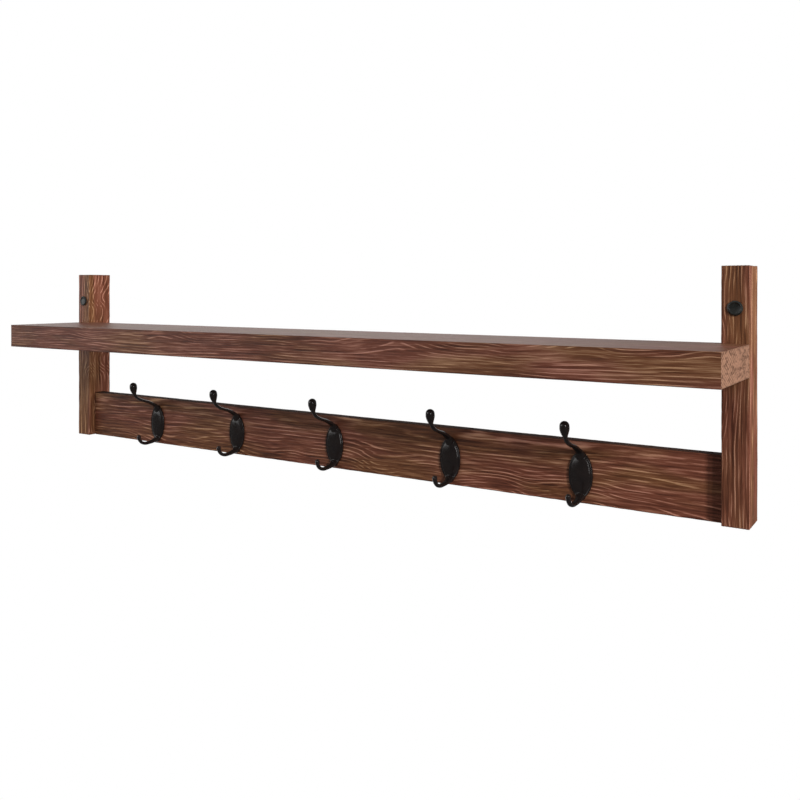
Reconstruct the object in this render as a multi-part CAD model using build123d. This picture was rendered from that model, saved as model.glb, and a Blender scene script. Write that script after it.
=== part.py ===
from build123d import *
import os

# A wall rack: two short posts carry a shelf board and a lower rail with five double coat hooks.
# Millimetres. X runs along the rack, +Y points into the wall, +Z is up. The wall is the plane Y = 0.
# The origin lies midway between the two wall-screw holes, on the wall.

# ---- overall ----
RACK_LENGTH = 1000.0
EASED_EDGE = 0.8
OVERSHOOT = 1.0

# ---- posts ----
POST_WIDTH = 26.0
POST_DEPTH = 39.5
POST_HEIGHT = 251.0
WALL_HOLE_ABOVE_FOOT = 210.0
WALL_HOLE_RADIUS = 2.5
CAP_SOCKET_RADIUS = 5.0
CAP_SOCKET_DEPTH = 12.0

# ---- shelf ----
SHELF_THICKNESS = 31.8
SHELF_UNDERSIDE_ABOVE_FOOT = 144.2
SHELF_FRONT_OFFSET = 115.8
SHELF_TONGUE_DEPTH = 12.0
SHELF_SIDE_GAP = 1.2

# ---- hook rail ----
RAIL_HEIGHT = 66.6
RAIL_THICKNESS = 15.0
RAIL_RECESS = 11.2

# ---- hooks: x along the rack, "out" away from the rail's front face, heights above the posts' feet ----
HOOK_POSITIONS = (-328.6, -168.9, 0.0, 168.9, 328.6)
PLATE_HALF_WIDTH = 13.5
PLATE_HALF_HEIGHT = 24.5
PLATE_CENTRE_HEIGHT = 30.6
PLATE_EDGE_THICKNESS = 1.7
PLATE_BEVEL = 1.0
CROWN_STEPS = ((1.8, 0.82), (2.8, 0.5))
BOSS_HALF_WIDTH = 5.2
BOSS_HALF_HEIGHT = 4.6
BOSS_OUT = 5.4
BOSS_ROUNDING = 2.2
UPPER_BOSS_HEIGHT = 52.0
LOWER_BOSS_HEIGHT = 7.4
UPPER_ARM_LINE = ((1.0, 51.6), (6.4, 56.6), (19.0, 63.0), (33.6, 68.0), (42.4, 74.0), (44.6, 79.0))
UPPER_ARM_SECTIONS = (
    (0.0, 10.0, 5.2),
    (0.16, 8.6, 4.8),
    (0.4, 7.4, 4.4),
    (0.66, 6.4, 3.9),
    (0.86, 5.2, 3.8),
    (1.0, 4.8, 4.8),
)
BULB_CENTRE = (46.2, 86.6)
BULB_LEAN = 10.0
BULB_OUTLINE = ((2.4, -8.6), (4.3, -4.6), (5.25, 0.4), (4.0, 5.2))
BULB_TOP = 7.6
BULB_SIDE_DIRECTION = (0.35, 1.0)
BULB_TOP_DIRECTION = (-1.0, 0.0)
LOWER_ARM_LINE = ((1.0, 7.8), (8.0, 5.2), (15.5, 3.4), (23.5, 2.9), (30.6, 4.9), (35.0, 9.2), (36.2, 14.4))
LOWER_ARM_SECTIONS = ((0.0, 9.2, 5.4), (0.2, 8.2, 5.2), (0.5, 6.8, 4.7), (0.8, 5.7, 4.3), (1.0, 4.6, 4.2))
LOWER_TIP_RADIUS = 2.9
HOOK_BACK_HALF_WIDTH = 20.0
HOOK_BACK_HEIGHTS = (-20.0, 120.0)

# ---- wall-screw caps ----
CAP_RADIUS = 7.3
CAP_OUT = 2.2
CAP_BEVEL = 1.0
CAP_RECESS_RADIUS = 5.2
CAP_RECESS = 0.8
CAP_STEM_LENGTH = 6.0
CAP_STEM_BORE = 3.6

# ---- screws ----
RAIL_SCREW_RADIUS = 2.0
RAIL_SCREW_HEAD_RADIUS = 3.6
RAIL_SCREW_LENGTH = 58.0
RAIL_SCREW_HEIGHTS = (10.0, 47.0)
RAIL_SCREW_SINK = 0.4
SHELF_SCREW_RADIUS = 2.4
SHELF_SCREW_HEAD_RADIUS = 4.6
SHELF_SCREW_LENGTH = 58.0
SHELF_SCREW_SINK = 8.0
SHELF_SCREW_OFFSET = 7.5
HOOK_SCREW_RADIUS = 2.0
HOOK_SCREW_CLEARANCE = 0.25
HOOK_SCREW_HEAD_RADIUS = 4.0
HOOK_SCREW_HEAD_HEIGHT = 2.6
HOOK_SCREW_HEAD_EDGE = 1.2
HOOK_SCREW_BITE = 3.2
HOOK_SCREW_HEIGHTS = (("lower", 8.4), ("upper", 51.6))
HOOK_SCREW_POCKET = 3.6
DRIVE_WIDTH = 1.0
DRIVE_DEPTH = 1.4
TIP_LENGTH = 5.0
POINT_RADIUS = 0.2
WOOD_SCREW_DRIVE = 0.55
HOOK_SCREW_DRIVE = 0.5

# ---- derived places ----
FOOT = -WALL_HOLE_ABOVE_FOOT
HALF_LENGTH = RACK_LENGTH / 2
POST_CENTRE = HALF_LENGTH - POST_WIDTH / 2
POST_INNER = HALF_LENGTH - POST_WIDTH
SHELF_FRONT = -(POST_DEPTH + SHELF_FRONT_OFFSET)
SHELF_REAR = -(POST_DEPTH - SHELF_TONGUE_DEPTH)
SHELF_MIDDLE = FOOT + SHELF_UNDERSIDE_ABOVE_FOOT + SHELF_THICKNESS / 2
RAIL_FRONT = -(POST_DEPTH - RAIL_RECESS)
RAIL_REAR = RAIL_FRONT + RAIL_THICKNESS
RAIL_MIDDLE = (RAIL_FRONT + RAIL_REAR) / 2
SIDES = (("left", -1), ("right", 1))

# Turns that point a piece's own +Z another way.
TOWARDS_WALL = (-90, 0, 0)
AWAY_FROM_WALL = (90, 0, 0)


def sawn_board(x_range, y_range, z_range):
    """A square-edged board between three pairs of faces."""
    size = [high - low for low, high in (x_range, y_range, z_range)]
    middle = [(high + low) / 2 for low, high in (x_range, y_range, z_range)]
    return Pos(*middle) * Box(*size)


def drilled_y(x, z, radius, y_start, y_end):
    """The round hole left by a drill along Y."""
    length = abs(y_end - y_start)
    return Location((x, (y_start + y_end) / 2, z), TOWARDS_WALL) * Cylinder(radius, length)


def drilled_x(side, y, z, radius, depth):
    """The round hole left by a drill that enters a post's outer face, towards the rack's middle."""
    centre = side * (HALF_LENGTH - depth / 2)
    return Location((centre, y, z), (0, 90, 0)) * Cylinder(radius, depth)


def cross_drive(size):
    """The two crossed slots of a screw's drive, cut down from Z = 0."""
    slot = Box(2 * size, DRIVE_WIDTH, 2 * DRIVE_DEPTH)
    return slot + Rot(0, 0, 90) * slot


def countersunk_screw(radius, head_radius, length):
    """A wood screw that points down -Z, with its flat head at Z = 0."""
    head_height = head_radius - radius
    head = Pos(0, 0, -head_height / 2) * Cone(radius, head_radius, head_height)
    shank_length = length - head_height - TIP_LENGTH
    shank = Pos(0, 0, -head_height - shank_length / 2) * Cylinder(radius, shank_length)
    tip = Pos(0, 0, -length + TIP_LENGTH / 2) * Cone(POINT_RADIUS, radius, TIP_LENGTH)
    return head + shank + tip - cross_drive(head_radius * WOOD_SCREW_DRIVE)


def countersunk_hole(radius, head_radius, length):
    """The space that a countersunk screw takes up in the wood."""
    head_height = head_radius - radius
    head = Pos(0, 0, -head_height / 2) * Cone(radius, head_radius, head_height)
    return head + Pos(0, 0, -length / 2) * Cylinder(radius, length)


def rail_screw_places(side):
    """Where the screws through one post's outer face into the rail's end have their heads."""
    turn = (0, 90 * side, 0)
    x = side * (HALF_LENGTH - RAIL_SCREW_SINK)
    return [Location((x, RAIL_MIDDLE, FOOT + height), turn) for height in RAIL_SCREW_HEIGHTS]


def shelf_screw_places(side):
    """Where the screws from one post's back into the shelf have their heads."""
    heights = (SHELF_MIDDLE - SHELF_SCREW_OFFSET, SHELF_MIDDLE + SHELF_SCREW_OFFSET)
    return [Location((side * POST_CENTRE, -SHELF_SCREW_SINK, z), TOWARDS_WALL) for z in heights]


def hook_screw_place(hook_x, height):
    """Where a hook's fixing screw has its head's seat, on the rail's rear face."""
    return Location((hook_x, RAIL_REAR, FOOT + height), TOWARDS_WALL)


def rail_screw_holes(side):
    bore = countersunk_hole(RAIL_SCREW_RADIUS, RAIL_SCREW_HEAD_RADIUS, RAIL_SCREW_LENGTH)
    return [place * bore for place in rail_screw_places(side)]


def shelf_screw_holes(side):
    bore = countersunk_hole(SHELF_SCREW_RADIUS, SHELF_SCREW_HEAD_RADIUS, SHELF_SCREW_LENGTH)
    return [place * bore for place in shelf_screw_places(side)]


def post(side):
    """One upright, with its wall-screw hole, the cap's socket and the joinery screws' holes."""
    inner, outer = sorted((side * POST_INNER, side * HALF_LENGTH))
    body = sawn_board((inner, outer), (-POST_DEPTH, 0), (FOOT, FOOT + POST_HEIGHT))
    body = fillet(body.edges(), EASED_EDGE)
    socket_floor = CAP_SOCKET_DEPTH - POST_DEPTH
    body -= drilled_y(side * POST_CENTRE, 0, WALL_HOLE_RADIUS, socket_floor, 0)
    body -= drilled_y(side * POST_CENTRE, 0, CAP_SOCKET_RADIUS, -POST_DEPTH, socket_floor)
    for hole in rail_screw_holes(side) + shelf_screw_holes(side):
        body -= hole
    for place in rail_screw_places(side):
        seat = place.position
        body -= drilled_x(side, seat.Y, seat.Z, RAIL_SCREW_HEAD_RADIUS, RAIL_SCREW_SINK)
    for place in shelf_screw_places(side):
        seat = place.position
        body -= drilled_y(seat.X, seat.Z, SHELF_SCREW_HEAD_RADIUS, seat.Y, 0)
    return body


def shelf_board():
    """The shelf: its rear corners are notched, so that a tongue reaches back between the posts."""
    z_range = (SHELF_MIDDLE - SHELF_THICKNESS / 2, SHELF_MIDDLE + SHELF_THICKNESS / 2)
    body = sawn_board((-HALF_LENGTH, HALF_LENGTH), (SHELF_FRONT, SHELF_REAR), z_range)
    body = fillet(body.edges(), EASED_EDGE)
    tongue_end = POST_INNER - SHELF_SIDE_GAP
    notch_y = (-POST_DEPTH, SHELF_REAR + OVERSHOOT)
    notch_z = (z_range[0] - OVERSHOOT, z_range[1] + OVERSHOOT)
    for _, side in SIDES:
        inner, outer = sorted((side * tongue_end, side * (HALF_LENGTH + OVERSHOOT)))
        body -= sawn_board((inner, outer), notch_y, notch_z)
        for hole in shelf_screw_holes(side):
            body -= hole
    return body


def hook_rail():
    """The rail between the posts, drilled for its end screws and for the hooks' screws."""
    body = sawn_board((-POST_INNER, POST_INNER), (RAIL_FRONT, RAIL_REAR), (FOOT, FOOT + RAIL_HEIGHT))
    body = fillet(body.edges().filter_by(Axis.X), EASED_EDGE)
    for _, side in SIDES:
        for hole in rail_screw_holes(side):
            body -= hole
    for x in HOOK_POSITIONS:
        for _, height in HOOK_SCREW_HEIGHTS:
            radius = HOOK_SCREW_RADIUS + HOOK_SCREW_CLEARANCE
            body -= drilled_y(x, FOOT + height, radius, RAIL_FRONT, RAIL_REAR)
    return body


def oval_at(out, height, half_width, half_height):
    """An upright oval parallel to the rail's face."""
    plane = Plane(origin=(0, RAIL_FRONT - out, FOOT + height), x_dir=(1, 0, 0), z_dir=(0, -1, 0))
    return plane * Ellipse(half_width, half_height)


def back_plate():
    """The hook's oval plate: an upright edge, a bevelled rim and a crown that rises in steps."""
    full = (PLATE_HALF_WIDTH, PLATE_HALF_HEIGHT)
    rim = (PLATE_HALF_WIDTH - PLATE_BEVEL, PLATE_HALF_HEIGHT - PLATE_BEVEL)
    front = PLATE_EDGE_THICKNESS + PLATE_BEVEL
    layer = oval_at(front, PLATE_CENTRE_HEIGHT, *rim)
    body = extrude(oval_at(0, PLATE_CENTRE_HEIGHT, *full), PLATE_EDGE_THICKNESS)
    body += loft([oval_at(PLATE_EDGE_THICKNESS, PLATE_CENTRE_HEIGHT, *full), layer])
    for rise, share in CROWN_STEPS:
        smaller = oval_at(front + rise, PLATE_CENTRE_HEIGHT, share * rim[0], share * rim[1])
        body += loft([layer, smaller])
        layer = smaller
    return body


def boss(height):
    """The rounded swelling that an arm grows out of."""
    block = extrude(oval_at(0, height, BOSS_HALF_WIDTH, BOSS_HALF_HEIGHT), BOSS_OUT)
    front = block.faces().sort_by(Axis.Y)[0]
    return fillet(front.edges(), BOSS_ROUNDING)


def tapering_arm(line, sections):
    """An arm of oval section along a smooth line of (out, height) points.

    Each section is (share of the way, width along X, thickness)."""
    path = Spline(*[(0, RAIL_FRONT - out, FOOT + height) for out, height in line])
    ovals = []
    for share, width, thickness in sections:
        plane = Plane(origin=path @ share, x_dir=(1, 0, 0), z_dir=path % share)
        ovals.append(plane * Ellipse(width / 2, thickness / 2))
    return loft(ovals)


def bulb():
    """The teardrop end of the upper arm."""
    directions = (BULB_SIDE_DIRECTION, BULB_TOP_DIRECTION)
    outline = Spline(*BULB_OUTLINE, (0, BULB_TOP), tangents=directions)
    low = BULB_OUTLINE[0]
    sides = Polyline((0, BULB_TOP), (0, low[1]), low)
    profile = Plane.XZ * make_face([outline, sides])
    out, height = BULB_CENTRE
    place = Location((0, RAIL_FRONT - out, FOOT + height), (BULB_LEAN, 0, 0))
    return place * revolve(profile, Axis.Z)


def lower_tip():
    """The small ball at the end of the lower arm."""
    out, height = LOWER_ARM_LINE[-1]
    return Pos(0, RAIL_FRONT - out, FOOT + height) * Sphere(LOWER_TIP_RADIUS)


def hook():
    """One cast double hook at X = 0, with blind holes in its back for two screws."""
    body = back_plate() + boss(UPPER_BOSS_HEIGHT) + boss(LOWER_BOSS_HEIGHT)
    body += tapering_arm(UPPER_ARM_LINE, UPPER_ARM_SECTIONS)
    body += bulb()
    body += tapering_arm(LOWER_ARM_LINE, LOWER_ARM_SECTIONS)
    body += lower_tip()
    back_x = (-HOOK_BACK_HALF_WIDTH, HOOK_BACK_HALF_WIDTH)
    back_z = [FOOT + height for height in HOOK_BACK_HEIGHTS]
    body -= sawn_board(back_x, (RAIL_FRONT, RAIL_REAR), back_z)
    for _, height in HOOK_SCREW_HEIGHTS:
        body -= drilled_y(0, FOOT + height, HOOK_SCREW_RADIUS, RAIL_FRONT - HOOK_SCREW_POCKET, RAIL_FRONT)
    return body


def hook_screw():
    """A pan-head machine screw that points down -Z, with its head's seat at Z = 0."""
    head = Cylinder(HOOK_SCREW_HEAD_RADIUS, HOOK_SCREW_HEAD_HEIGHT)
    head = Pos(0, 0, HOOK_SCREW_HEAD_HEIGHT / 2) * head
    head = fillet(head.faces().sort_by(Axis.Z)[-1].edges(), HOOK_SCREW_HEAD_EDGE)
    length = RAIL_THICKNESS + HOOK_SCREW_BITE
    shank = Pos(0, 0, -length / 2) * Cylinder(HOOK_SCREW_RADIUS, length)
    drive = cross_drive(HOOK_SCREW_HEAD_RADIUS * HOOK_SCREW_DRIVE)
    return head + shank - Pos(0, 0, HOOK_SCREW_HEAD_HEIGHT) * drive


def wall_screw_cap(side):
    """A round cover with a bevelled, recessed face and a hollow stem pressed into the post's socket."""
    disc = Pos(0, 0, CAP_OUT / 2) * Cylinder(CAP_RADIUS, CAP_OUT)
    disc = chamfer(disc.faces().sort_by(Axis.Z)[-1].edges(), CAP_BEVEL)
    disc -= Pos(0, 0, CAP_OUT) * Cylinder(CAP_RECESS_RADIUS, 2 * CAP_RECESS)
    stem = Pos(0, 0, -CAP_STEM_LENGTH / 2) * Cylinder(CAP_SOCKET_RADIUS, CAP_STEM_LENGTH)
    bore = Pos(0, 0, -CAP_STEM_LENGTH / 2) * Cylinder(CAP_STEM_BORE, CAP_STEM_LENGTH)
    return Location((side * POST_CENTRE, -POST_DEPTH, 0), AWAY_FROM_WALL) * (disc + stem - bore)


def rack_pieces():
    """Every physical piece of the rack, by name."""
    pieces = {"shelf_board": shelf_board(), "hook_rail": hook_rail()}
    shelf_screw = countersunk_screw(SHELF_SCREW_RADIUS, SHELF_SCREW_HEAD_RADIUS, SHELF_SCREW_LENGTH)
    rail_screw = countersunk_screw(RAIL_SCREW_RADIUS, RAIL_SCREW_HEAD_RADIUS, RAIL_SCREW_LENGTH)
    for name, side in SIDES:
        pieces[f"{name}_post"] = post(side)
        pieces[f"{name}_wall_screw_cap"] = wall_screw_cap(side)
        for level, place in zip(("lower", "upper"), shelf_screw_places(side)):
            pieces[f"{name}_{level}_shelf_screw"] = place * shelf_screw
        for level, place in zip(("lower", "upper"), rail_screw_places(side)):
            pieces[f"{name}_{level}_rail_screw"] = place * rail_screw
    casting = hook()
    fixing = hook_screw()
    for number, x in enumerate(HOOK_POSITIONS, start=1):
        pieces[f"hook_{number}"] = Pos(x, 0, 0) * casting
        for level, height in HOOK_SCREW_HEIGHTS:
            pieces[f"hook_{number}_{level}_screw"] = hook_screw_place(x, height) * fixing
    return pieces


os.makedirs("parts", exist_ok=True)
for node, piece in rack_pieces().items():
    export_step(piece, f"parts/{node}.step")
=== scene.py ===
import math

import bpy
import numpy as np
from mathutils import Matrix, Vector


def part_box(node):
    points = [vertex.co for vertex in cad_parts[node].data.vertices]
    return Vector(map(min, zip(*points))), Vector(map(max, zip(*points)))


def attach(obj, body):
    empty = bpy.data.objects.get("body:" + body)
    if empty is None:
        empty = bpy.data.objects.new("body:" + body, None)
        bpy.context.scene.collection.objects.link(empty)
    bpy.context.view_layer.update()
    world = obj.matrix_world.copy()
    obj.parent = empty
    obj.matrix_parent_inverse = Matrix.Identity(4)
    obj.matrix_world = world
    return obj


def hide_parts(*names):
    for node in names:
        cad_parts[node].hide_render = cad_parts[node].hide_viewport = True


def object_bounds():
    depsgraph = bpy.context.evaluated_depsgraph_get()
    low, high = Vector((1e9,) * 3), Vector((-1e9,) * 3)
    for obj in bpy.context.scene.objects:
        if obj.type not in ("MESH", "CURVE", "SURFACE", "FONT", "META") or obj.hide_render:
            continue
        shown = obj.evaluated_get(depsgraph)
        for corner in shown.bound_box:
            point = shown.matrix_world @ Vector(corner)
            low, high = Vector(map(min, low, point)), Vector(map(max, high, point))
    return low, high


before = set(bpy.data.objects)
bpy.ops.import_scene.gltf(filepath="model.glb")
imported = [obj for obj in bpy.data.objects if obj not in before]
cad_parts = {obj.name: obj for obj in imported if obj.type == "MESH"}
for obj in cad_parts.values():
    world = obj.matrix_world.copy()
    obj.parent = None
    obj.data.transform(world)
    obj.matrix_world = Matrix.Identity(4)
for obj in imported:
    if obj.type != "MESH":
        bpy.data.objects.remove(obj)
cad_low, cad_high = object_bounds()

MM = 0.001
HOOK_COUNT = 5
SIDES = ("left", "right")
LEVELS = ("lower", "upper")
AXES = {"X": 0, "Y": 1, "Z": 2}

# Drilling, in millimetres.
CAP_SOCKET_DEPTH = 12
CAP_SOCKET_RADIUS = 5.05
WALL_HOLE_RADIUS = 2.5
RAIL_SCREW_SHANK = 2.0
RAIL_SCREW_HEAD = 1.6
SHELF_SCREW_SHANK = 2.4
SHELF_SCREW_HEAD = 2.2
HOOK_SCREW_HOLE = 2.25
HOOK_POCKET_RADIUS = 2.05
HOOK_POCKET_SPARE = 0.4
NOTCH_GAP = 1.2

# The casting's plate and bosses, in millimetres from the rail's face and foot.
PLATE_HALF_WIDTH = 13.5
PLATE_HALF_HEIGHT = 24.5
PLATE_CENTRE = 30.6
PLATE_EDGE = 1.75
PLATE_BEVEL = 0.95
PLATE_CROWN = 1.7
BOSSES = ((52.0, 5.2, 4.7, 5.4), (7.2, 4.8, 4.4, 5.2))

# The room as a light: its dimmest strength, then (direction, where it starts, where it is full, strength).
ROOM_FLOOR = 0.13
ROOM = (
    ((0.0, 0.0, 1.0), 0.0, 1.0, 0.35),
    ((-0.82, 0.57, 0.0), 0.60, 0.90, 1.05),
)


# ---------------------------------------------------------------- shader helpers


class Shader:
    """A material under construction: short names for the nodes that the materials below share."""

    def __init__(self, name):
        self.material = bpy.data.materials.new(name)
        self.material.use_nodes = True
        self.tree = self.material.node_tree
        self.tree.nodes.clear()
        self.surface = self.tree.nodes.new("ShaderNodeBsdfPrincipled")
        output = self.tree.nodes.new("ShaderNodeOutputMaterial")
        self.tree.links.new(self.surface.outputs["BSDF"], output.inputs["Surface"])

    def put(self, socket, value):
        """Links a node's output to a socket, or sets the socket to a plain value."""
        if isinstance(value, bpy.types.NodeSocket):
            self.tree.links.new(value, socket)
        else:
            socket.default_value = value

    def set(self, **values):
        """Sets the surface's own sockets; underscores stand for spaces."""
        for name, value in values.items():
            self.put(self.surface.inputs[name.replace("_", " ")], value)

    def attribute(self, name):
        node = self.tree.nodes.new("ShaderNodeAttribute")
        node.attribute_name = name
        return node

    def math(self, operation, a, b=0.0, clamp=False):
        node = self.tree.nodes.new("ShaderNodeMath")
        node.operation = operation
        node.use_clamp = clamp
        self.put(node.inputs[0], a)
        self.put(node.inputs[1], b)
        return node.outputs[0]

    def stretched(self, vector, scale):
        node = self.tree.nodes.new("ShaderNodeVectorMath")
        node.operation = "MULTIPLY"
        self.put(node.inputs[0], vector)
        node.inputs[1].default_value = scale
        return node.outputs[0]

    def noise(self, vector, scale=1.0, detail=2.0, roughness=0.5, distortion=0.0):
        node = self.tree.nodes.new("ShaderNodeTexNoise")
        self.put(node.inputs["Vector"], vector)
        node.inputs["Scale"].default_value = scale
        node.inputs["Detail"].default_value = detail
        node.inputs["Roughness"].default_value = roughness
        node.inputs["Distortion"].default_value = distortion
        return node.outputs["Fac"]

    def remap(self, value, low, high, to_low=0.0, to_high=1.0):
        node = self.tree.nodes.new("ShaderNodeMapRange")
        node.interpolation_type = "SMOOTHSTEP"
        self.put(node.inputs["Value"], value)
        node.inputs["From Min"].default_value = low
        node.inputs["From Max"].default_value = high
        node.inputs["To Min"].default_value = to_low
        node.inputs["To Max"].default_value = to_high
        return node.outputs["Result"]

    def ramp(self, value, stops):
        """A colour ramp from (position, (r, g, b)) stops."""
        node = self.tree.nodes.new("ShaderNodeValToRGB")
        elements = node.color_ramp.elements
        while len(elements) < len(stops):
            elements.new(0.5)
        for element, (position, colour) in zip(elements, stops):
            element.position = position
            element.color = (*colour, 1.0)
        self.put(node.inputs["Fac"], value)
        return node.outputs["Color"]

    def mix(self, factor, a, b, blend="MIX"):
        node = self.tree.nodes.new("ShaderNodeMix")
        node.data_type = "RGBA"
        node.blend_type = blend
        self.put(node.inputs["Factor"], factor)
        self.put(node.inputs[6], a)
        self.put(node.inputs[7], b)
        return node.outputs[2]

    def bump(self, height, distance, strength=1.0, normal=None):
        node = self.tree.nodes.new("ShaderNodeBump")
        self.put(node.inputs["Strength"], strength)
        node.inputs["Distance"].default_value = distance
        self.put(node.inputs["Height"], height)
        if normal is not None:
            self.put(node.inputs["Normal"], normal)
        return node.outputs["Normal"]


# ---------------------------------------------------------------- materials


def stained_wood(name, dark, middle, light, patches, gloss=0.42):
    """Brushed softwood under a dark stain. The mesh gives each point its growth-ring number, its place
    along and across the grain, how much end grain it shows, how near it is to an arris, how much painted
    shade it takes and whether it was planed smooth."""
    s = Shader(name)
    ring = s.attribute("ring").outputs["Fac"]
    place = s.attribute("wood").outputs["Vector"]
    end_grain = s.attribute("end_grain").outputs["Fac"]
    arris = s.attribute("arris").outputs["Fac"]
    # Painted shade: marks the face that is painted near-black to stand in for the shelf's shade on the rail's
    # top.
    painted_shade = s.attribute("painted_shade").outputs["Fac"]
    planed = s.attribute("planed").outputs["Fac"]

    ripple = s.noise(s.stretched(place, (9.0, 150.0, 150.0)), detail=2.0)
    fibre = s.noise(s.stretched(place, (45.0, 1900.0, 1900.0)), detail=3.0, roughness=0.62)
    streak = s.noise(s.stretched(place, (17.0, 430.0, 430.0)), detail=4.0, roughness=0.6)
    cloud = s.noise(s.stretched(place, (4.5, 30.0, 30.0)), detail=2.0)
    tint = s.noise(s.stretched(place, (9.0, 42.0, 42.0)), detail=1.0, distortion=0.4)
    fade = s.noise(s.stretched(place, (21.0, 170.0, 170.0)), detail=2.0)

    wobbled = s.math("ADD", ring, s.math("MULTIPLY", s.math("SUBTRACT", ripple, 0.5), 0.60))
    phase = s.math("FRACT", wobbled)
    rise = s.remap(phase, 0.54, 0.82)
    fall = s.remap(phase, 0.84, 0.98, 1.0, 0.0)
    line = s.math("MULTIPLY", rise, fall)
    ridge = s.math("MULTIPLY", line, s.remap(fade, 0.38, 0.64, 0.06, 1.0))

    grain = s.math("MULTIPLY", ridge, 0.58)
    grain = s.math("ADD", grain, s.math("MULTIPLY", s.math("SUBTRACT", fibre, 0.5), 0.50))
    grain = s.math("ADD", grain, s.math("MULTIPLY", s.math("SUBTRACT", streak, 0.5), 1.60))
    grain = s.math("ADD", grain, s.math("MULTIPLY", s.math("SUBTRACT", cloud, 0.5), 0.55))
    contrast = s.math("SUBTRACT", 1.0, s.math("MULTIPLY", planed, 0.55))
    grain = s.math("MULTIPLY", s.math("SUBTRACT", grain, 0.13), contrast)
    grain = s.math("ADD", grain, 0.44, clamp=True)
    colour = s.ramp(grain, ((0.0, dark), (0.40, middle), (1.0, light)))
    patch = s.ramp(s.remap(tint, 0.34, 0.66), ((0.0, patches[0]), (0.5, (1.0, 1.0, 1.0)), (1.0, patches[1])))
    colour = s.mix(1.0, colour, patch, "MULTIPLY")

    pores = s.noise(s.stretched(place, (500.0, 1500.0, 1500.0)), detail=2.0)
    broken = s.noise(s.stretched(place, (60.0, 90.0, 330.0)), detail=3.0, distortion=0.8)
    # The end grain's colour is its own tone plus painted sheen: its ramp runs lighter and greyer than the
    # side grain's to stand in for the sheen on the end faces.
    end_tone = s.math("SUBTRACT", 0.92, s.math("MULTIPLY", line, 0.60))
    end_tone = s.math("ADD", end_tone, s.math("MULTIPLY", s.math("SUBTRACT", broken, 0.5), 2.2))
    end_tone = s.math("ADD", end_tone, s.math("MULTIPLY", s.math("SUBTRACT", pores, 0.5), 0.8), clamp=True)
    end_stops = ((0.1, dark), (0.5, [c * 0.24 for c in light]), (0.95, [c * 0.62 for c in light]))
    end_grain_and_sheen = s.ramp(end_tone, end_stops)
    colour = s.mix(s.math("MULTIPLY", end_grain, 0.9), colour, end_grain_and_sheen)

    # Every arris is darker, broken up by the fibre; the same near-black colour also serves for the painted
    # shade below.
    arris_and_shade_dark = (*[c * 0.35 for c in dark], 1.0)
    arris_darkening = s.math("MULTIPLY", arris, s.remap(fibre, 0.35, 0.6, 0.5, 1.0))
    colour = s.mix(s.math("MULTIPLY", arris_darkening, 0.6), colour, arris_and_shade_dark)
    # Painted shade: the marked face is mixed to near-black and made rougher, standing in for the shade under
    # the shelf.
    colour = s.mix(s.math("MULTIPLY", painted_shade, 0.88), colour, arris_and_shade_dark)

    rough = s.math("ADD", gloss, s.math("MULTIPLY", s.math("SUBTRACT", fibre, 0.5), 0.25))
    rough = s.math("SUBTRACT", rough, s.math("MULTIPLY", ridge, 0.07))
    rough = s.math("ADD", rough, s.math("MULTIPLY", end_grain, 0.08))
    rough = s.math("ADD", rough, s.math("MULTIPLY", painted_shade, 0.45), clamp=True)
    brushed = s.math("SUBTRACT", 1.0, s.math("MULTIPLY", planed, 0.8))
    coarse = s.bump(streak, 0.0004, s.math("MULTIPLY", brushed, 0.55))
    fine = s.bump(fibre, 0.00016, s.math("MULTIPLY", brushed, 0.7), coarse)
    s.set(Base_Color=colour, Roughness=rough, Normal=fine, Specular_IOR_Level=0.18)
    return s.material


def black_casting():
    """Black lacquer over an iron casting: gloss broken by a faint orange peel, bronze on its high points."""
    s = Shader("black_casting")
    place = s.tree.nodes.new("ShaderNodeTexCoord").outputs["Object"]
    shape = s.tree.nodes.new("ShaderNodeNewGeometry").outputs["Pointiness"]
    peel = s.noise(place, 620.0, detail=3.0, roughness=0.55)
    blotch = s.noise(place, 95.0, detail=3.0)
    rubbed = s.math("MULTIPLY", s.remap(shape, 0.52, 0.60), s.remap(blotch, 0.35, 0.65, 0.2, 1.0))
    colour = s.ramp(blotch, ((0.25, (0.0075, 0.0052, 0.0050)), (0.75, (0.0150, 0.0102, 0.0090))))
    colour = s.mix(s.math("MULTIPLY", rubbed, 0.55), colour, (0.060, 0.036, 0.024, 1.0))
    rough = s.remap(s.noise(place, 210.0, detail=4.0), 0.25, 0.75, 0.13, 0.23)
    s.set(Base_Color=colour, Roughness=rough, Normal=s.bump(peel, 0.00006, 0.35), Specular_IOR_Level=0.5)
    return s.material


def moulded_black():
    """Fine-textured black plastic, a little greyer where it has been handled."""
    s = Shader("moulded_black")
    place = s.tree.nodes.new("ShaderNodeTexCoord").outputs["Object"]
    grit = s.noise(place, 2600.0, detail=2.0)
    haze = s.noise(place, 240.0, detail=3.0)
    colour = s.ramp(haze, ((0.3, (0.007, 0.0075, 0.007)), (0.7, (0.017, 0.018, 0.016))))
    rough = s.remap(haze, 0.3, 0.7, 0.26, 0.42)
    s.set(Base_Color=colour, Roughness=rough, Normal=s.bump(grit, 0.00006, 0.5))
    return s.material


def bronzed_steel():
    """Dark bronze plating with fine turning marks and brighter rubbed spots."""
    s = Shader("bronzed_steel")
    place = s.tree.nodes.new("ShaderNodeTexCoord").outputs["Object"]
    marks = s.noise(s.stretched(place, (3200.0, 3200.0, 900.0)), detail=2.0)
    wear = s.noise(place, 420.0, detail=3.0)
    colour = s.ramp(wear, ((0.35, (0.055, 0.040, 0.030)), (0.70, (0.17, 0.125, 0.090))))
    rough = s.remap(marks, 0.3, 0.7, 0.28, 0.46)
    s.set(Base_Color=colour, Metallic=1.0, Roughness=rough, Normal=s.bump(marks, 0.00004, 0.5))
    return s.material


# ---------------------------------------------------------------- mesh helpers


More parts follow.
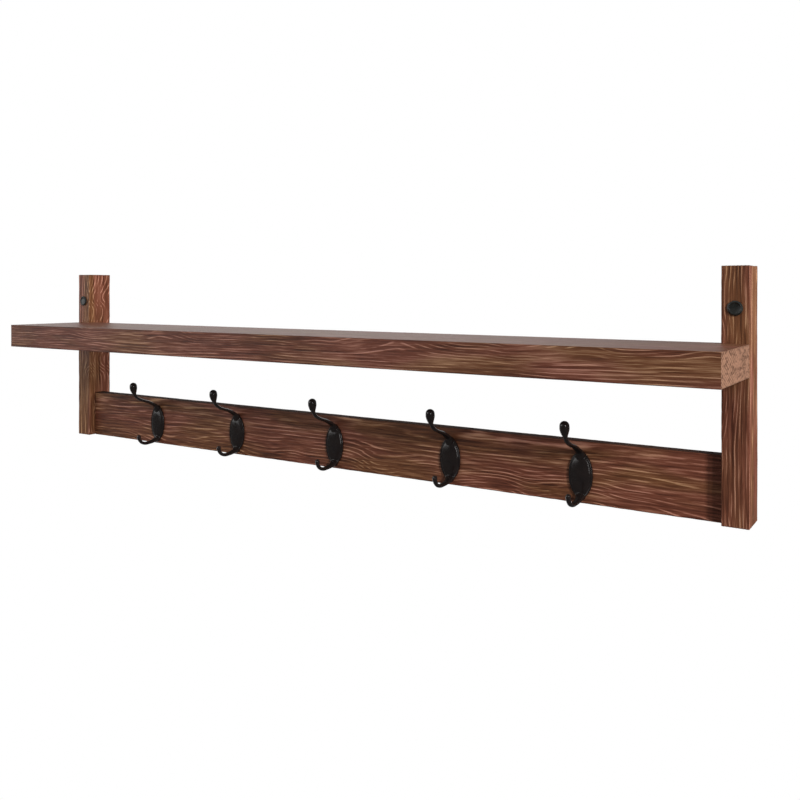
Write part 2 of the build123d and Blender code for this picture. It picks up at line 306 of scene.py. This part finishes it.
def new_piece(name, points, faces, materials, smooth_angle=42.0):
    """A mesh object with smooth faces, broken where they meet more sharply than the angle."""
    mesh = bpy.data.meshes.new(name)
    mesh.from_pydata([tuple(p) for p in points], [], [tuple(f) for f in faces])
    mesh.validate()
    for material in materials:
        mesh.materials.append(material)
    mesh.shade_smooth()
    mesh.set_sharp_from_angle(angle=math.radians(smooth_angle))
    piece = bpy.data.objects.new(name, mesh)
    bpy.context.scene.collection.objects.link(piece)
    return piece


def mesh_points(piece):
    flat = np.empty(len(piece.data.vertices) * 3, np.float32)
    piece.data.vertices.foreach_get("co", flat)
    return flat.reshape(-1, 3).astype(float)


def mesh_normals(piece):
    flat = np.empty(len(piece.data.vertices) * 3, np.float32)
    piece.data.vertices.foreach_get("normal", flat)
    return flat.reshape(-1, 3).astype(float)


def lathe(outline, segments=96):
    """Points and faces of an outline of (radius, height) turned about Z; both its ends lie on the axis."""
    inner = outline[1:-1]
    angles = np.linspace(0.0, 2 * math.pi, segments, endpoint=False)
    points = [(0.0, 0.0, outline[0][1]), (0.0, 0.0, outline[-1][1])]
    for radius, height in inner:
        points += [(radius * math.cos(a), radius * math.sin(a), height) for a in angles]
    faces = []
    for i in range(segments):
        j = (i + 1) % segments
        faces.append((0, 2 + j, 2 + i))
        last = 2 + (len(inner) - 1) * segments
        faces.append((1, last + i, last + j))
        for ring in range(len(inner) - 1):
            a = 2 + ring * segments
            faces.append((a + i, a + j, a + segments + j, a + segments + i))
    return np.array(points), faces


def cut(piece, cutter):
    """Takes the cutter's volume out of the piece, and removes the cutter."""
    modifier = piece.modifiers.new("cut", "BOOLEAN")
    modifier.operation = "DIFFERENCE"
    modifier.solver = "MANIFOLD"
    modifier.object = cutter
    evaluated = piece.evaluated_get(bpy.context.evaluated_depsgraph_get())
    result = bpy.data.meshes.new_from_object(evaluated)
    piece.modifiers.clear()
    old = piece.data
    piece.data = result
    result.name = piece.name
    bpy.data.meshes.remove(old)
    cutter_mesh = cutter.data
    bpy.data.objects.remove(cutter)
    bpy.data.meshes.remove(cutter_mesh)


# ---------------------------------------------------------------- wood


class Waves:
    """Smooth random wandering: a seeded sum of waves that is the same on every run."""

    def __init__(self, seed, count, along, across):
        draw = np.random.default_rng(seed)
        lengths_along = draw.uniform(*along, count)
        lengths_across = draw.uniform(*across, count)
        turn = draw.uniform(0, 2 * math.pi, count)
        signs = draw.choice((-1.0, 1.0), count)
        self.pace = np.stack(
            (signs / lengths_along, np.cos(turn) / lengths_across, np.sin(turn) / lengths_across)
        )
        self.start = draw.uniform(0, 2 * math.pi, count)
        self.share = 1.0 / math.sqrt(count / 2)

    def at(self, places):
        """About -1 to 1 at each (along, across, across) place."""
        return np.sin(2 * math.pi * places @ self.pace + self.start).sum(axis=1) * self.share


class Board:
    """One sawn board's wood: which way its grain runs, where its tree's pith lay and its rings' spacing.
    Towards its strayed side the rings lean away from the board's length, and run out through that edge.
    The faces across its planed axis are smoother than the rest."""

    def __init__(self, node, grain, pith, spacing, seed, lean, strayed, sway=1.0, planed=None):
        self.grain = AXES[grain]
        self.low, self.high = (np.array(corner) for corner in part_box(node))
        self.pith = np.array(pith) * MM
        self.spacing = spacing * MM
        self.slow = Waves(seed, 9, (0.25, 0.9), (0.05, 0.16))
        self.quick = Waves(seed + 1, 14, (0.06, 0.22), (0.012, 0.05))
        self.planed = planed
        self.lean = lean * MM
        self.strayed = strayed
        self.sway = np.array((0.37, 0.19, 0.105)) * sway
        self.lean_starts = np.random.default_rng(seed + 3).uniform(0, 2 * math.pi, 3)
        self.edge_waves = Waves(seed + 2, 10, (0.012, 0.08), (0.3, 0.9))

    def places(self, points):
        """Each point's place along the grain and across it, from the board's middle."""
        centred = points - (self.low + self.high) / 2
        return np.roll(centred, -self.grain, axis=1)

    def leaning(self, places):
        """Lopsided waves, slow one way and quick the other, that fade away from the strayed side."""
        total = 0.0
        for length, share, start in zip(self.sway, (0.50, 0.32, 0.18), self.lean_starts):
            turn = 2 * math.pi * places[:, 0] / length + start
            total = total + share * np.sin(turn - 0.62 * np.sin(turn))
        across, side = self.strayed
        half = np.roll(self.high - self.low, -self.grain)[across] / 2
        share = np.clip(side * places[:, across] / half, -1.0, 1.0)
        reach = np.clip((share + 0.35) / 1.35, 0.0, 1.0)
        return total * reach * self.lean

    def planing(self, normals):
        """1 where a face was planed smooth, 0 where it was brushed."""
        if self.planed is None:
            return np.zeros(len(normals))
        return np.abs(normals[:, AXES[self.planed]])

    def rings(self, points):
        """The growth-ring number at each point, which rises smoothly from the pith outwards."""
        places = self.places(points)
        radius = np.linalg.norm(places[:, 1:] - self.pith, axis=1)
        wander = (1.5 * self.slow.at(places) + 0.26 * self.quick.at(places)) * MM
        return (radius + wander + self.leaning(places)) / self.spacing

    def relief(self, points):
        """How far the brushed surface lies below the sawn one, in metres."""
        phase = self.rings(points) % 1.0
        ridge = np.exp(-(((phase - 0.80) / 0.17) ** 2)) + np.exp(-(((phase + 0.20) / 0.17) ** 2))
        hollow = 0.5 + 0.5 * self.quick.at(self.places(points))
        return (0.16 * (1.0 - ridge) + 0.10 * np.clip(hollow, 0.0, 1.0)) * MM


def graded_lines(low, high, cell, ease):
    """Grid lines from low to high, close together by the two eased edges."""
    near = np.array((0.0, 0.12, 0.3, 0.55, 0.85, 1.3)) * ease
    count = max(2, round((high - low - 2 * near[-1]) / cell))
    middle = np.linspace(low + near[-1], high - near[-1], count + 1)
    return np.concatenate((low + near[:-1], middle, high - near[-2::-1]))


def box_skin(lines):
    """The closed skin of a box that is divided by grid lines along X, Y and Z."""
    counts = [len(line) for line in lines]
    quads = []
    for axis in range(3):
        first, second = (axis + 1) % 3, (axis + 2) % 3
        a, b = np.meshgrid(np.arange(counts[first] - 1), np.arange(counts[second] - 1), indexing="ij")
        for end in (0, counts[axis] - 1):
            turn = ((0, 0), (1, 0), (1, 1), (0, 1)) if end else ((0, 0), (0, 1), (1, 1), (1, 0))
            corners = []
            for step_a, step_b in turn:
                index = [np.full_like(a, end)] * 3
                index[first] = a + step_a
                index[second] = b + step_b
                corners.append(np.ravel_multi_index(index, counts).ravel())
            quads.append(np.stack(corners, axis=1))
    used, faces = np.unique(np.concatenate(quads), return_inverse=True)
    steps = np.unravel_index(used, counts)
    points = np.stack([np.asarray(lines[axis])[steps[axis]] for axis in range(3)], axis=1)
    return points, faces.reshape(-1, 4)


def eased(points, low, high, radius):
    """Rounds a box's edges: the moved points and their outward directions."""
    radius = radius[:, None]
    inner = np.clip(points, low + radius, high - radius)
    offset = points - inner
    outward = offset / np.linalg.norm(offset, axis=1, keepdims=True)
    return inner + outward * radius, outward


def near_arris(points, board, reach):
    """1 at a board's edges, falling to 0 at the given reach from them."""
    gaps = np.sort(np.minimum(points - board.low, board.high - points), axis=1)
    return np.clip(1.0 - gaps[:, 1] / reach, 0.0, 1.0) ** 1.5


def mark_wood(piece, board, painted_shade):
    """Stores what the wood's material reads; the last argument is the direction of a face that gets painted
    shade, a darker colour that stands in for shade falling there.
    """
    points = mesh_points(piece)
    normals = mesh_normals(piece)
    attributes = piece.data.attributes
    values = {
        "ring": board.rings(points),
        "end_grain": np.clip(np.abs(normals[:, board.grain]) * 1.6 - 0.4, 0.0, 1.0),
        "arris": near_arris(points, board, 1.5 * MM),
        # Painted shade: 1 on faces turned towards the given direction, 0 elsewhere.
        "painted_shade": np.clip(normals @ np.array(painted_shade) * 2.0 - 1.0, 0.0, 1.0),
        "planed": board.planing(normals),
    }
    for name, numbers in values.items():
        attributes.new(name, "FLOAT", "POINT").data.foreach_set("value", numbers.astype(np.float32))
    places = (board.places(points) + board.pith[0] * 7.0).astype(np.float32)
    attributes.new("wood", "FLOAT_VECTOR", "POINT").data.foreach_set("vector", places.ravel())


def sawn_and_brushed(name, board, material, along=6.0, across=0.72, ease=1.1):
    """A board with eased, slightly uneven edges and the grain standing in relief."""
    cells = [along * MM if axis == board.grain else across * MM for axis in range(3)]
    lines = [graded_lines(board.low[i], board.high[i], cells[i], ease * MM) for i in range(3)]
    points, faces = box_skin(lines)
    radius = ease * MM * (0.8 + 0.2 * board.edge_waves.at(board.places(points)))
    moved, outward = eased(points, board.low, board.high, radius)
    depth = board.relief(moved) * (1.0 - 0.8 * board.planing(outward))
    moved -= outward * depth[:, None]
    return new_piece(name, moved, faces, [material])


def block_cutter(low, high):
    corners = np.array([low, high])
    points, faces = box_skin([corners[:, i] for i in range(3)])
    return new_piece("cutter", points, faces, [])


def round_cutter(centre, axis, radius, length):
    """A cylinder along X, Y or Z, for drilling."""
    outline = ((0, -length / 2), (radius, -length / 2), (radius, length / 2), (0, length / 2))
    points, faces = lathe(outline, 48)
    faces = [face[::-1] for face in faces]
    turned = np.roll(points, AXES[axis] + 1, axis=1)
    return new_piece("cutter", turned + np.array(centre), faces, [])


def drill(piece, axis, centre, radius, start, end):
    """Drills the piece along an axis, from start to end on that axis."""
    middle = list(centre)
    middle[AXES[axis]] = (start + end) / 2
    cut(piece, round_cutter(middle, axis, radius, abs(end - start)))


def node_middle(node):
    low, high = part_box(node)
    return (low + high) / 2


def drill_for_screw(piece, node, axis, mouth, shank, head_height):
    """The hole for one screw: its head's pocket from the wood's face, then its shank."""
    low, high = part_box(node)
    i = AXES[axis]
    centre = (low + high) / 2
    across = (i + 1) % 3
    head_radius = (high[across] - low[across]) / 2
    outside_high = abs(mouth - high[i]) < abs(mouth - low[i])
    seat = high[i] - head_height if outside_high else low[i] + head_height
    far = low[i] if outside_high else high[i]
    beyond = mouth + (1 if outside_high else -1) * MM
    drill(piece, axis, centre, head_radius, beyond, seat)
    drill(piece, axis, centre, shank, seat, far)


def make_post(side, material, board):
    sign = -1 if side == "left" else 1
    post = sawn_and_brushed(f"{side}_post_wood", board, material, along=5.0, across=0.55)
    outer = board.low[0] if sign < 0 else board.high[0]
    cap_low, cap_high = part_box(f"{side}_wall_screw_cap")
    centre = (cap_low + cap_high) / 2
    socket_floor = board.low[1] + CAP_SOCKET_DEPTH * MM
    drill(post, "Y", centre, CAP_SOCKET_RADIUS * MM, board.low[1] - MM, socket_floor)
    drill(post, "Y", centre, WALL_HOLE_RADIUS * MM, socket_floor - MM, board.high[1] + MM)
    for level in LEVELS:
        rail_screw = f"{side}_{level}_rail_screw"
        shelf_screw = f"{side}_{level}_shelf_screw"
        drill_for_screw(post, rail_screw, "X", outer, RAIL_SCREW_SHANK * MM, RAIL_SCREW_HEAD * MM)
        drill_for_screw(post, shelf_screw, "Y", board.high[1], SHELF_SCREW_SHANK * MM, SHELF_SCREW_HEAD * MM)
    finish_wood(post, board)
    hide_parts(f"{side}_post")


def finish_wood(piece, board, painted_shade=(0.0, 0.0, 0.0)):
    """Closes a board's making: its shading breaks, its stored grain and its body."""
    piece.data.shade_smooth()
    piece.data.set_sharp_from_angle(angle=math.radians(50))
    mark_wood(piece, board, painted_shade)
    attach(piece, "root")


def make_shelf(material, board):
    """The shelf, notched at its rear corners to go round the posts."""
    shelf = sawn_and_brushed("shelf_wood", board, material)
    for side in SIDES:
        post_low, post_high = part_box(f"{side}_post")
        low = Vector((post_low.x - 5 * MM, post_low.y, board.low[2] - 5 * MM))
        high = Vector((post_high.x + 5 * MM, 0.0, board.high[2] + 5 * MM))
        if side == "left":
            high.x = post_high.x + NOTCH_GAP * MM
        else:
            low.x = post_low.x - NOTCH_GAP * MM
        cut(shelf, block_cutter(low, high))
    finish_wood(shelf, board)
    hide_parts("shelf_board")


def make_rail(material, board):
    rail = sawn_and_brushed("rail_wood", board, material, along=6.0, across=0.62)
    for number in range(1, HOOK_COUNT + 1):
        for level in LEVELS:
            centre = node_middle(f"hook_{number}_{level}_screw")
            drill(rail, "Y", centre, HOOK_SCREW_HOLE * MM, board.low[1] - MM, board.high[1] + MM)
    # The rail's top face gets painted shade, standing in for the shade that the shelf casts on it.
    finish_wood(rail, board, painted_shade=(0.0, 0.0, 1.0))
    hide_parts("hook_rail")


# ---------------------------------------------------------------- hooks


def smooth_min(a, b, blend):
    """The union of two distance fields, with a fillet of about the blend's size."""
    near = np.clip(0.5 + 0.5 * (b - a) / blend, 0.0, 1.0)
    return b * (1 - near) + a * near - blend * near * (1 - near)


def smooth_max(a, b, blend):
    return -smooth_min(-a, -b, blend)


def curve_through(points, count):
    """A smooth line through the points, as count points (Catmull-Rom)."""
    points = np.array(points, float)
    padded = np.vstack((2 * points[0] - points[1], points, 2 * points[-1] - points[-2]))
    spans = len(points) - 1
    result = []
    for share in np.linspace(0, spans, count):
        i = min(int(share), spans - 1)
        t = share - i
        a, b, c, d = padded[i : i + 4]
        result.append(
            0.5 * (2 * b + (c - a) * t + (2 * a - 5 * b + 4 * c - d) * t**2 + (3 * b - a - 3 * c + d) * t**3)
        )
    return np.array(result)


def arm_field(x, out, height, stations):
    """Distance field of an arm. Each station is (out, height, half width, half thickness), in millimetres."""
    line = curve_through(stations, 60)
    best = np.full(out.shape, np.inf)
    width = np.ones(out.shape)
    thick = np.ones(out.shape)
    for start, end in zip(line[:-1], line[1:]):
        step = end[:2] - start[:2]
        along = ((out - start[0]) * step[0] + (height - start[1]) * step[1]) / (step @ step)
        along = np.clip(along, 0.0, 1.0)
        gap = np.hypot(out - start[0] - along * step[0], height - start[1] - along * step[1])
        nearer = gap < best
        best = np.where(nearer, gap, best)
        width = np.where(nearer, start[2] + along * (end[2] - start[2]), width)
        thick = np.where(nearer, start[3] + along * (end[3] - start[3]), thick)
    size = np.sqrt((x / width[None]) ** 2 + (best[None] / thick[None]) ** 2)
    return (size - 1.0) * np.minimum(width, thick)[None]


def oval_distance(x, height, half_width, half_height):
    """Signed distance from an upright oval's outline, near enough for this use."""
    k0 = np.sqrt((x / half_width) ** 2 + (height / half_height) ** 2)
    k1 = np.sqrt((x / half_width**2) ** 2 + (height / half_height**2) ** 2)
    return k0 * (k0 - 1.0) / np.maximum(k1, 1e-6)


def plate_field(x, out, height, centre):
    """The oval back plate: a thin edge, a bevelled rim, a shallow groove inside it, then a low crown."""
    edge = oval_distance(x, height - centre, PLATE_HALF_WIDTH, PLATE_HALF_HEIGHT)
    inside = np.clip(-edge, 0.0, None)
    bevel = PLATE_EDGE + PLATE_BEVEL * np.clip(inside / 1.0, 0.0, 1.0)
    groove = 0.6 * np.exp(-(((inside - 2.1) / 0.7) ** 2))
    share = np.clip((inside - 2.0) / 11.5, 0.0, 1.0)
    crown = PLATE_CROWN * (1.0 - (1.0 - share) ** 2) ** 0.75
    face = out - (bevel - groove + crown)
    return smooth_max(edge, face * 0.75, 0.3)


def boss_field(x, out, height, centre, half_width, half_height, rise):
    """The swelling that an arm grows out of."""
    side = oval_distance(x, height - centre, half_width, half_height)
    return smooth_max(side, out - rise, 2.2)


UPPER_ARM = (
    (0.6, 51.0, 4.9, 3.2),
    (6.4, 56.8, 4.4, 2.7),
    (13.0, 60.4, 4.0, 2.4),
    (19.0, 63.1, 3.7, 2.2),
    (26.5, 65.5, 3.3, 2.0),
    (34.2, 68.4, 3.1, 1.95),
    (40.2, 72.2, 2.6, 1.9),
    (43.6, 76.8, 2.5, 2.3),
    (45.2, 81.2, 4.1, 4.05),
    (45.9, 85.4, 5.15, 5.1),
    (46.2, 88.8, 5.1, 5.1),
)
LOWER_ARM = (
    (0.6, 8.2, 4.8, 3.4),
    (6.0, 6.1, 4.3, 2.85),
    (11.5, 4.5, 3.9, 2.6),
    (17.5, 3.7, 3.5, 2.4),
    (24.0, 3.4, 3.15, 2.3),
    (30.0, 5.1, 2.9, 2.2),
    (34.2, 8.6, 2.65, 2.15),
    (35.8, 12.4, 2.75, 2.5),
    (36.1, 14.4, 3.0, 2.9),
)


def screw_pockets():
    """Height, radius and depth of the two threaded pockets in a casting's back, in millimetres."""
    rail_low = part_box("hook_rail")[0]
    pockets = []
    for level in LEVELS:
        low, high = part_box(f"hook_3_{level}_screw")
        centre = ((low.z + high.z) / 2 - rail_low.z) / MM
        depth = (rail_low.y - low.y) / MM + HOOK_POCKET_SPARE
        pockets.append((centre, HOOK_POCKET_RADIUS, depth))
    return pockets


def hook_field(x, out, height):
    """The whole casting's distance field; out and height are in millimetres from the rail's face and foot."""
    field = plate_field(x, out[None], height[None], PLATE_CENTRE)
    for centre, half_width, half_height, rise in BOSSES:
        boss = boss_field(x, out[None], height[None], centre, half_width, half_height, rise)
        field = smooth_min(field, boss, 0.6)
    for stations in (UPPER_ARM, LOWER_ARM):
        field = smooth_min(field, arm_field(x, out, height, stations), 1.6)
    field = smooth_max(field, -out[None], 0.25)
    for centre, radius, depth in screw_pockets():
        side = np.hypot(x, height[None] - centre) - radius
        field = np.maximum(field, -np.maximum(side, out[None] - depth))
    return field


def surface_net(field, origin, step):
    """Points and quads of the surface where a gridded field passes through zero."""
    inside = field < 0
    corners = [(i, j, k) for i in (0, 1) for j in (0, 1) for k in (0, 1)]
    shape = tuple(n - 1 for n in field.shape)
    window = {c: tuple(slice(c[a], c[a] + shape[a]) for a in range(3)) for c in corners}
    count = sum(inside[window[c]].astype(np.int8) for c in corners)
    cells = np.argwhere((count > 0) & (count < 8))
    values = {c: field[tuple((cells + np.array(c)).T)] for c in corners}
    total = np.zeros((len(cells), 3))
    hits = np.zeros(len(cells))
    for start in corners:
        for axis in range(3):
            if start[axis]:
                continue
            end = tuple(1 if a == axis else start[a] for a in range(3))
            a, b = values[start], values[end]
            crossing = (a < 0) != (b < 0)
            share = np.where(crossing, a / np.where(crossing, a - b, 1.0), 0.0)
            spot = np.tile(np.array(start, float), (len(cells), 1))
            spot[:, axis] += share
            total += spot * crossing[:, None]
            hits += crossing
    points = (cells + total / hits[:, None]) * step + origin
    number = np.full(shape, -1)
    number[tuple(cells.T)] = np.arange(len(cells))
    quads = []
    for axis in range(3):
        first, second = (axis + 1) % 3, (axis + 2) % 3
        ahead = np.take(inside, range(1, field.shape[axis]), axis)
        behind = np.take(inside, range(field.shape[axis] - 1), axis)
        for flipped, crossing in ((False, behind & ~ahead), (True, ahead & ~behind)):
            edges = np.argwhere(crossing)
            edges = edges[(edges[:, first] > 0) & (edges[:, second] > 0)]
            ring = []
            for back_a, back_b in ((1, 1), (0, 1), (0, 0), (1, 0)):
                cell = edges.copy()
                cell[:, first] -= back_a
                cell[:, second] -= back_b
                keep = np.minimum(cell, np.array(shape) - 1)
                ring.append(number[tuple(keep.T)])
            ring = ring[::-1] if flipped else ring
            quads.append(np.stack(ring, axis=1))
    return points, np.concatenate(quads)


def cast_hook_mesh(material, step=0.45):
    """The casting's mesh at the middle of the rack, in metres."""
    low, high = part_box("hook_3")
    rail_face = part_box("hook_rail")[0].y
    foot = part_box("hook_rail")[0].z
    margin = 3 * step
    half_width = (high.x - low.x) / 2 / MM + margin
    reach = (rail_face - low.y) / MM + margin
    bottom = (low.z - foot) / MM - margin
    top = (high.z - foot) / MM + margin
    x = np.arange(-half_width, half_width, step)
    out = np.arange(-margin + step * 0.37, reach, step)
    height = np.arange(bottom, top, step)
    out_grid, height_grid = np.meshgrid(out, height, indexing="ij")
    field = hook_field(x[:, None, None], out_grid, height_grid)
    origin = np.array((x[0], out[0], height[0]))
    points, quads = surface_net(field, origin, step)
    placed = np.stack((points[:, 0], -points[:, 1], points[:, 2]), axis=1) * MM
    placed += np.array((0.0, rail_face, foot))
    quads = quads[:, ::-1]
    return new_piece("hook_casting_3", placed, quads, [material], smooth_angle=60)


def make_hooks(material):
    middle = cast_hook_mesh(material)
    for number in range(1, HOOK_COUNT + 1):
        if number == 3:
            casting = middle
        else:
            casting = bpy.data.objects.new(f"hook_casting_{number}", middle.data)
            bpy.context.scene.collection.objects.link(casting)
            casting.location.x = node_middle(f"hook_{number}").x
        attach(casting, "root")
        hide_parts(f"hook_{number}")


# ---------------------------------------------------------------- small parts


def arc(centre, radius, start, end, steps=6):
    """Points on an arc in the (radius, height) plane, angles in degrees."""
    angles = np.radians(np.linspace(start, end, steps))
    return [(centre[0] + radius * math.cos(a), centre[1] + radius * math.sin(a)) for a in angles]


def make_cap(side, material):
    """The round cover: a rounded rim, a bevel up to a narrow land, and a recessed face."""
    low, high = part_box(f"{side}_wall_screw_cap")
    radius = (high.x - low.x) / 2 / MM
    post_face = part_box(f"{side}_post")[0].y
    rise = (post_face - low.y) / MM
    land = rise - 0.12
    outline = [(0.0, -6.0), (3.6, -6.0), (5.0, -5.6), (5.0, 0.0)]
    outline += arc((radius - 0.35, 0.35), 0.35, -90, 0)
    outline += arc((radius - 0.4, rise - 1.1), 0.4, 0, 45, 4)
    outline += arc((radius - 1.5, rise - 0.5), 0.5, 45, 90, 4)
    outline += arc((5.55, land - 0.2), 0.2, 90, 180, 4)
    outline += [(5.2, rise - 0.78), (4.9, rise - 0.95), (2.5, rise - 0.85), (0.0, rise - 0.80)]
    points, faces = lathe(np.array(outline) * MM)
    turned = np.stack((points[:, 0], -points[:, 2], points[:, 1]), axis=1)
    centre = (low + high) / 2
    turned += np.array((centre.x, post_face, centre.z))
    cap = new_piece(f"{side}_cap_cover", turned, faces, [material], smooth_angle=50)
    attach(cap, "root")
    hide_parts(f"{side}_wall_screw_cap")


def paint_screws(material):
    """The CAD screws keep their shape and get the plated finish."""
    for name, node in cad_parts.items():
        if name.endswith("_screw"):
            node.data.materials.clear()
            node.data.materials.append(material)


# ---------------------------------------------------------------- stage


def glowing(name, colour, strength):
    material = bpy.data.materials.new(name)
    material.use_nodes = True
    tree = material.node_tree
    tree.nodes.clear()
    emission = tree.nodes.new("ShaderNodeEmission")
    emission.inputs["Color"].default_value = (*colour, 1.0)
    emission.inputs["Strength"].default_value = strength
    output = tree.nodes.new("ShaderNodeOutputMaterial")
    tree.links.new(emission.outputs["Emission"], output.inputs["Surface"])
    return material


def make_floor():
    """A plain pale floor far enough below the rack to take no shadow from it."""
    size, drop = 30.0, 1.2
    level = cad_low.z - drop
    points = [(-size, -size, level), (size, -size, level), (size, size, level), (-size, size, level)]
    floor = new_piece("floor", points, [(0, 1, 2, 3)], [glowing("pale_floor", (1.0, 1.0, 1.0), 1.0)])
    floor.visible_diffuse = False
    floor.visible_glossy = False


def make_world():
    """White to the eye. As a light it is a dim room, with a pale ceiling and a bright screen behind."""
    world = bpy.data.worlds.new("studio")
    bpy.context.scene.world = world
    world.use_nodes = True
    tree = world.node_tree
    tree.nodes.clear()
    new = tree.nodes.new
    coordinate = new("ShaderNodeTexCoord")
    total = None
    for toward, start, end, strength in ROOM:
        dot = new("ShaderNodeVectorMath")
        dot.operation = "DOT_PRODUCT"
        tree.links.new(coordinate.outputs["Generated"], dot.inputs[0])
        dot.inputs[1].default_value = Vector(toward).normalized()
        lobe = new("ShaderNodeMapRange")
        lobe.interpolation_type = "SMOOTHSTEP"
        lobe.inputs["From Min"].default_value = start
        lobe.inputs["From Max"].default_value = end
        lobe.inputs["To Max"].default_value = strength
        tree.links.new(dot.outputs["Value"], lobe.inputs["Value"])
        add = new("ShaderNodeMath")
        tree.links.new(lobe.outputs["Result"], add.inputs[0])
        if total is None:
            add.inputs[1].default_value = ROOM_FLOOR
        else:
            tree.links.new(total, add.inputs[1])
        total = add.outputs[0]
    lamp = new("ShaderNodeBackground")
    tree.links.new(total, lamp.inputs["Strength"])
    seen = new("ShaderNodeBackground")
    seen.inputs["Color"].default_value = (1.0, 1.0, 1.0, 1.0)
    rays = new("ShaderNodeLightPath")
    choose = new("ShaderNodeMixShader")
    tree.links.new(rays.outputs["Is Camera Ray"], choose.inputs["Fac"])
    tree.links.new(lamp.outputs["Background"], choose.inputs[1])
    tree.links.new(seen.outputs["Background"], choose.inputs[2])
    output = new("ShaderNodeOutputWorld")
    tree.links.new(choose.outputs["Shader"], output.inputs["Surface"])


def make_light(name, place, target, size, power):
    data = bpy.data.lights.new(name, "AREA")
    data.shape = "RECTANGLE"
    data.size, data.size_y = size
    data.energy = power
    light = bpy.data.objects.new(name, data)
    bpy.context.scene.collection.objects.link(light)
    light.location = place
    light.rotation_mode = "QUATERNION"
    light.rotation_quaternion = (Vector(target) - Vector(place)).to_track_quat("-Z", "Y")
    return light


def aimed_light(name, target, azimuth, elevation, distance, size, power):
    """A soft light that looks at a point; azimuth is in degrees to the right of straight in front."""
    turn, rise = math.radians(azimuth), math.radians(elevation)
    way = Vector((math.sin(turn) * math.cos(rise), -math.cos(turn) * math.cos(rise), math.sin(rise)))
    return make_light(name, Vector(target) + way * distance, target, size, power)


def make_lights():
    """The two strong lights leave no mirror image on the boards; the strip gives the castings theirs."""
    key = aimed_light("key", (0.0, -0.05, -0.12), 60, 21, 5.0, (0.5, 1.3), 200.0)
    rim = aimed_light("rim", (0.2, -0.05, -0.08), 100, 12, 2.4, (0.5, 1.0), 46.0)
    for light in (key, rim):
        light.visible_glossy = False
    aimed_light("strip", (0.1, -0.08, -0.15), 52, 8, 2.5, (0.16, 1.2), 10.5)
    aimed_light("fill", (-0.45, -0.08, -0.1), -42, 20, 2.0, (2.2, 1.8), 23.0)


def make_camera():
    """Level camera to the right of the rack, turned 33 degrees to its left and shifted down."""
    data = bpy.data.cameras.new("camera")
    data.sensor_width = 36.0
    data.lens = 38.55
    data.shift_y = -0.1382
    camera = bpy.data.objects.new("camera", data)
    bpy.context.scene.collection.objects.link(camera)
    camera.location = (0.6639, -0.8987, 0.0179)
    camera.rotation_euler = (math.radians(90), 0.0, math.radians(33.0))
    bpy.context.scene.camera = camera


# ---------------------------------------------------------------- the rack

RED_AND_OLIVE = ((1.05, 0.94, 1.06), (0.98, 1.05, 0.90))
shelf_finish = stained_wood(
    "shelf_stain",
    dark=(0.044, 0.0145, 0.0082),
    middle=(0.130, 0.0470, 0.0250),
    light=(0.415, 0.222, 0.142),
    patches=RED_AND_OLIVE,
)
rail_finish = stained_wood(
    "rail_stain",
    dark=(0.041, 0.0130, 0.0070),
    middle=(0.156, 0.0560, 0.0285),
    light=(0.500, 0.258, 0.158),
    patches=RED_AND_OLIVE,
)
post_finish = stained_wood(
    "post_stain",
    dark=(0.052, 0.0172, 0.0090),
    middle=(0.159, 0.0590, 0.0298),
    light=(0.470, 0.252, 0.153),
    patches=RED_AND_OLIVE,
)

shelf_wood = Board(
    "shelf_board", "X", (-230.0, -360.0), 3.2, seed=11, lean=-11.0, strayed=(2, 1.0), planed="Z"
)
rail_wood = Board("hook_rail", "X", (20.0, 31.0), 3.8, seed=23, lean=13.0, strayed=(2, -1.0))
left_wood = Board("left_post", "Z", (-44.0, 40.0), 3.1, seed=37, lean=9.0, strayed=(1, 1.0), sway=0.5)
right_wood = Board("right_post", "Z", (60.0, 10.0), 2.9, seed=41, lean=8.0, strayed=(1, -1.0), sway=0.6)

make_shelf(shelf_finish, shelf_wood)
make_rail(rail_finish, rail_wood)
make_post("left", post_finish, left_wood)
make_post("right", post_finish, right_wood)
make_hooks(black_casting())
cap_plastic = moulded_black()
for side in SIDES:
    make_cap(side, cap_plastic)
paint_screws(bronzed_steel())

make_floor()
make_world()
make_lights()
make_camera()
bpy.context.scene.view_settings.view_transform = "Standard"
